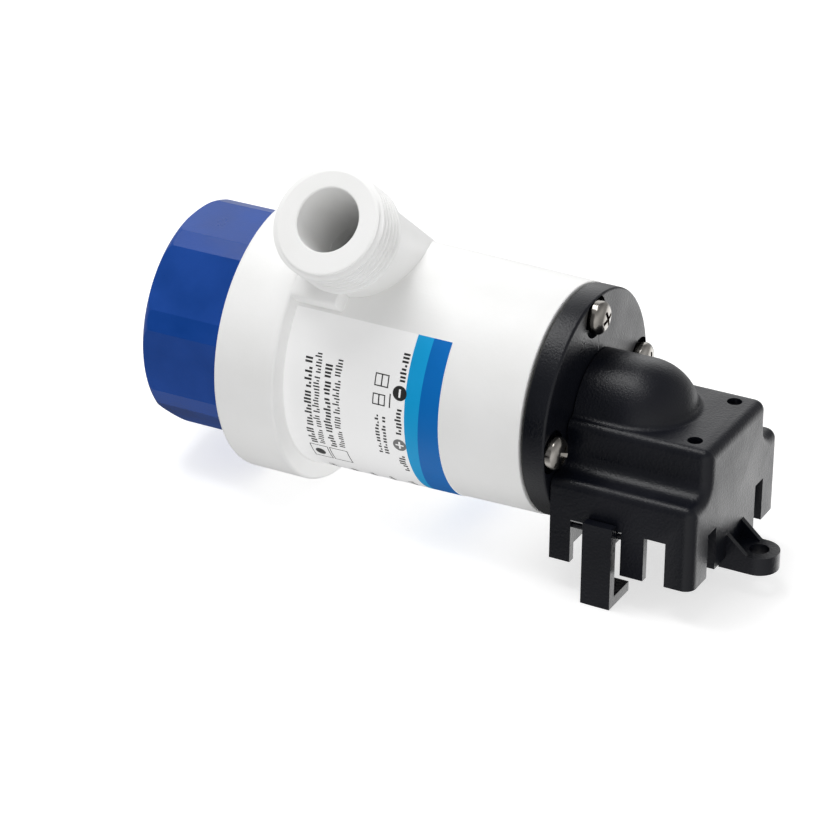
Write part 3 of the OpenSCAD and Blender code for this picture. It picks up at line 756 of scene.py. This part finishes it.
def camera():
    az, el, roll = 0.489648, 0.469724, 0.006047
    forward = Vector((-math.sin(az) * math.cos(el), math.cos(az) * math.cos(el), -math.sin(el)))
    flat_right = Vector((math.cos(az), math.sin(az), 0))
    flat_up = flat_right.cross(forward)
    right = math.cos(roll) * flat_right + math.sin(roll) * flat_up
    up = math.cos(roll) * flat_up - math.sin(roll) * flat_right
    focal, away, sensor = 3400.4, 968.2, 36
    middle = FRAME_SIDE / 2
    aside, above = (596.813 - middle) / focal, (middle - 403.939) / focal
    at = -away * (aside * right + above * up + forward)
    data = bpy.data.cameras.new("camera")
    data.sensor_width = sensor
    data.lens = sensor * focal / FRAME_SIDE
    data.clip_end = 10
    cam = bpy.data.objects.new("camera", data)
    bpy.context.scene.collection.objects.link(cam)
    turn = Matrix((right, up, -forward)).transposed().to_4x4()
    cam.matrix_world = Matrix.Translation(place(at)) @ turn
    bpy.context.scene.camera = cam


def area_light(name, at, target, side, power):
    """A square white light, in metres and watts, that faces a target."""
    data = bpy.data.lights.new(name, "AREA")
    data.shape = "RECTANGLE"
    data.size, data.size_y = side, side
    data.energy = power
    obj = bpy.data.objects.new(name, data)
    bpy.context.scene.collection.objects.link(obj)
    obj.location = at
    obj.rotation_euler = (Vector(target) - Vector(at)).to_track_quat("-Z", "Y").to_euler()


# The surroundings' even light, and patches of it: direction, the cosines where one starts
# and is full, and how much it adds
WORLD_BASE = 0.88
WORLD_LOBES = [
    ((0.42, 0.79, -0.45), 0.84, 0.97, 1.90),
    ((-0.42, 0.79, 0.45), 0.84, 0.98, 1.15),
    ((0.0, 1.0, 0.05), 0.20, 0.90, -0.36),
    ((-0.40, -0.88, 0.22), 0.82, 0.96, -0.60),
    ((-0.42, -0.80, -0.40), 0.86, 0.98, -0.70),
    ((0.40, -0.80, -0.45), 0.45, 0.95, 0.36),
    ((0.0, 0.0, 1.0), 0.30, 0.95, -0.46),
    ((-0.42, 0.40, -0.81), 0.70, 0.96, -0.62),
    ((-0.42, -0.35, -0.84), 0.82, 0.97, 0.40),
    ((0.60, 0.0, -0.80), 0.30, 0.95, -0.40),
]


def world_light():
    """Soft surroundings: an even light, with brighter and darker patches from WORLD_LOBES."""
    world = bpy.data.worlds.new("studio")
    world.use_nodes = True
    tree = world.node_tree
    coord = tree.nodes.new("ShaderNodeTexCoord")

    def lobe(direction, start, end, amount):
        dot = tree.nodes.new("ShaderNodeVectorMath")
        dot.operation = "DOT_PRODUCT"
        dot.inputs[1].default_value = Vector(direction).normalized()
        tree.links.new(coord.outputs["Generated"], dot.inputs[0])
        rise = tree.nodes.new("ShaderNodeMapRange")
        rise.interpolation_type = "SMOOTHSTEP"
        rise.inputs["From Min"].default_value = start
        rise.inputs["From Max"].default_value = end
        rise.inputs["To Max"].default_value = amount
        tree.links.new(dot.outputs["Value"], rise.inputs["Value"])
        return rise.outputs["Result"]

    total = None
    for part in WORLD_LOBES:
        add = tree.nodes.new("ShaderNodeMath")
        add.operation = "ADD"
        if total:
            tree.links.new(total, add.inputs[0])
        else:
            add.inputs[0].default_value = WORLD_BASE
        tree.links.new(lobe(*part), add.inputs[1])
        total = add.outputs["Value"]
    background = tree.nodes["Background"]
    background.inputs["Color"].default_value = (1, 1, 1, 1)
    tree.links.new(total, background.inputs["Strength"])
    bpy.context.scene.world = world


def studio():
    """The floor touches the latch and the collar, which the pump rests on; bounced and reflected rays
    pass through it.
    """
    low_latch, low_collar = place((16.6, 0, -45.02)), place((-92, 0, -41.32))
    slope = math.atan2(low_latch.z - low_collar.z, low_latch.x - low_collar.x)
    half = 3.0
    corners = [(-half, -half, 0), (half, -half, 0), (half, half, 0), (-half, half, 0)]
    mesh = bpy.data.meshes.new("floor")
    mesh.from_pydata(corners, [], [(0, 1, 2, 3)])
    floor = bpy.data.objects.new("floor", mesh)
    bpy.context.scene.collection.objects.link(floor)
    floor.location = low_latch
    floor.rotation_euler = (0, -slope, 0)
    floor.visible_diffuse = False
    floor.visible_glossy = False
    mesh.materials.append(FLOOR)
    world_light()
    aim = (-0.06, 0, 0.03)
    area_light("key", (-0.42, -0.02, 0.93), aim, 0.44, 4.2)
    area_light("overhead", (-0.10, -0.24, 0.92), aim, 0.25, 1.0)
    bpy.context.scene.view_settings.view_transform = "Standard"


strainer_base()
inlet_flange()
for node in ("latch_front", "latch_rear"):
    finish_cad(node, 0.25)
housing()
outlet()
label()
printing()
flange_screws()
finish_cad("end_cap", 0.5, 12)
camera()
studio()
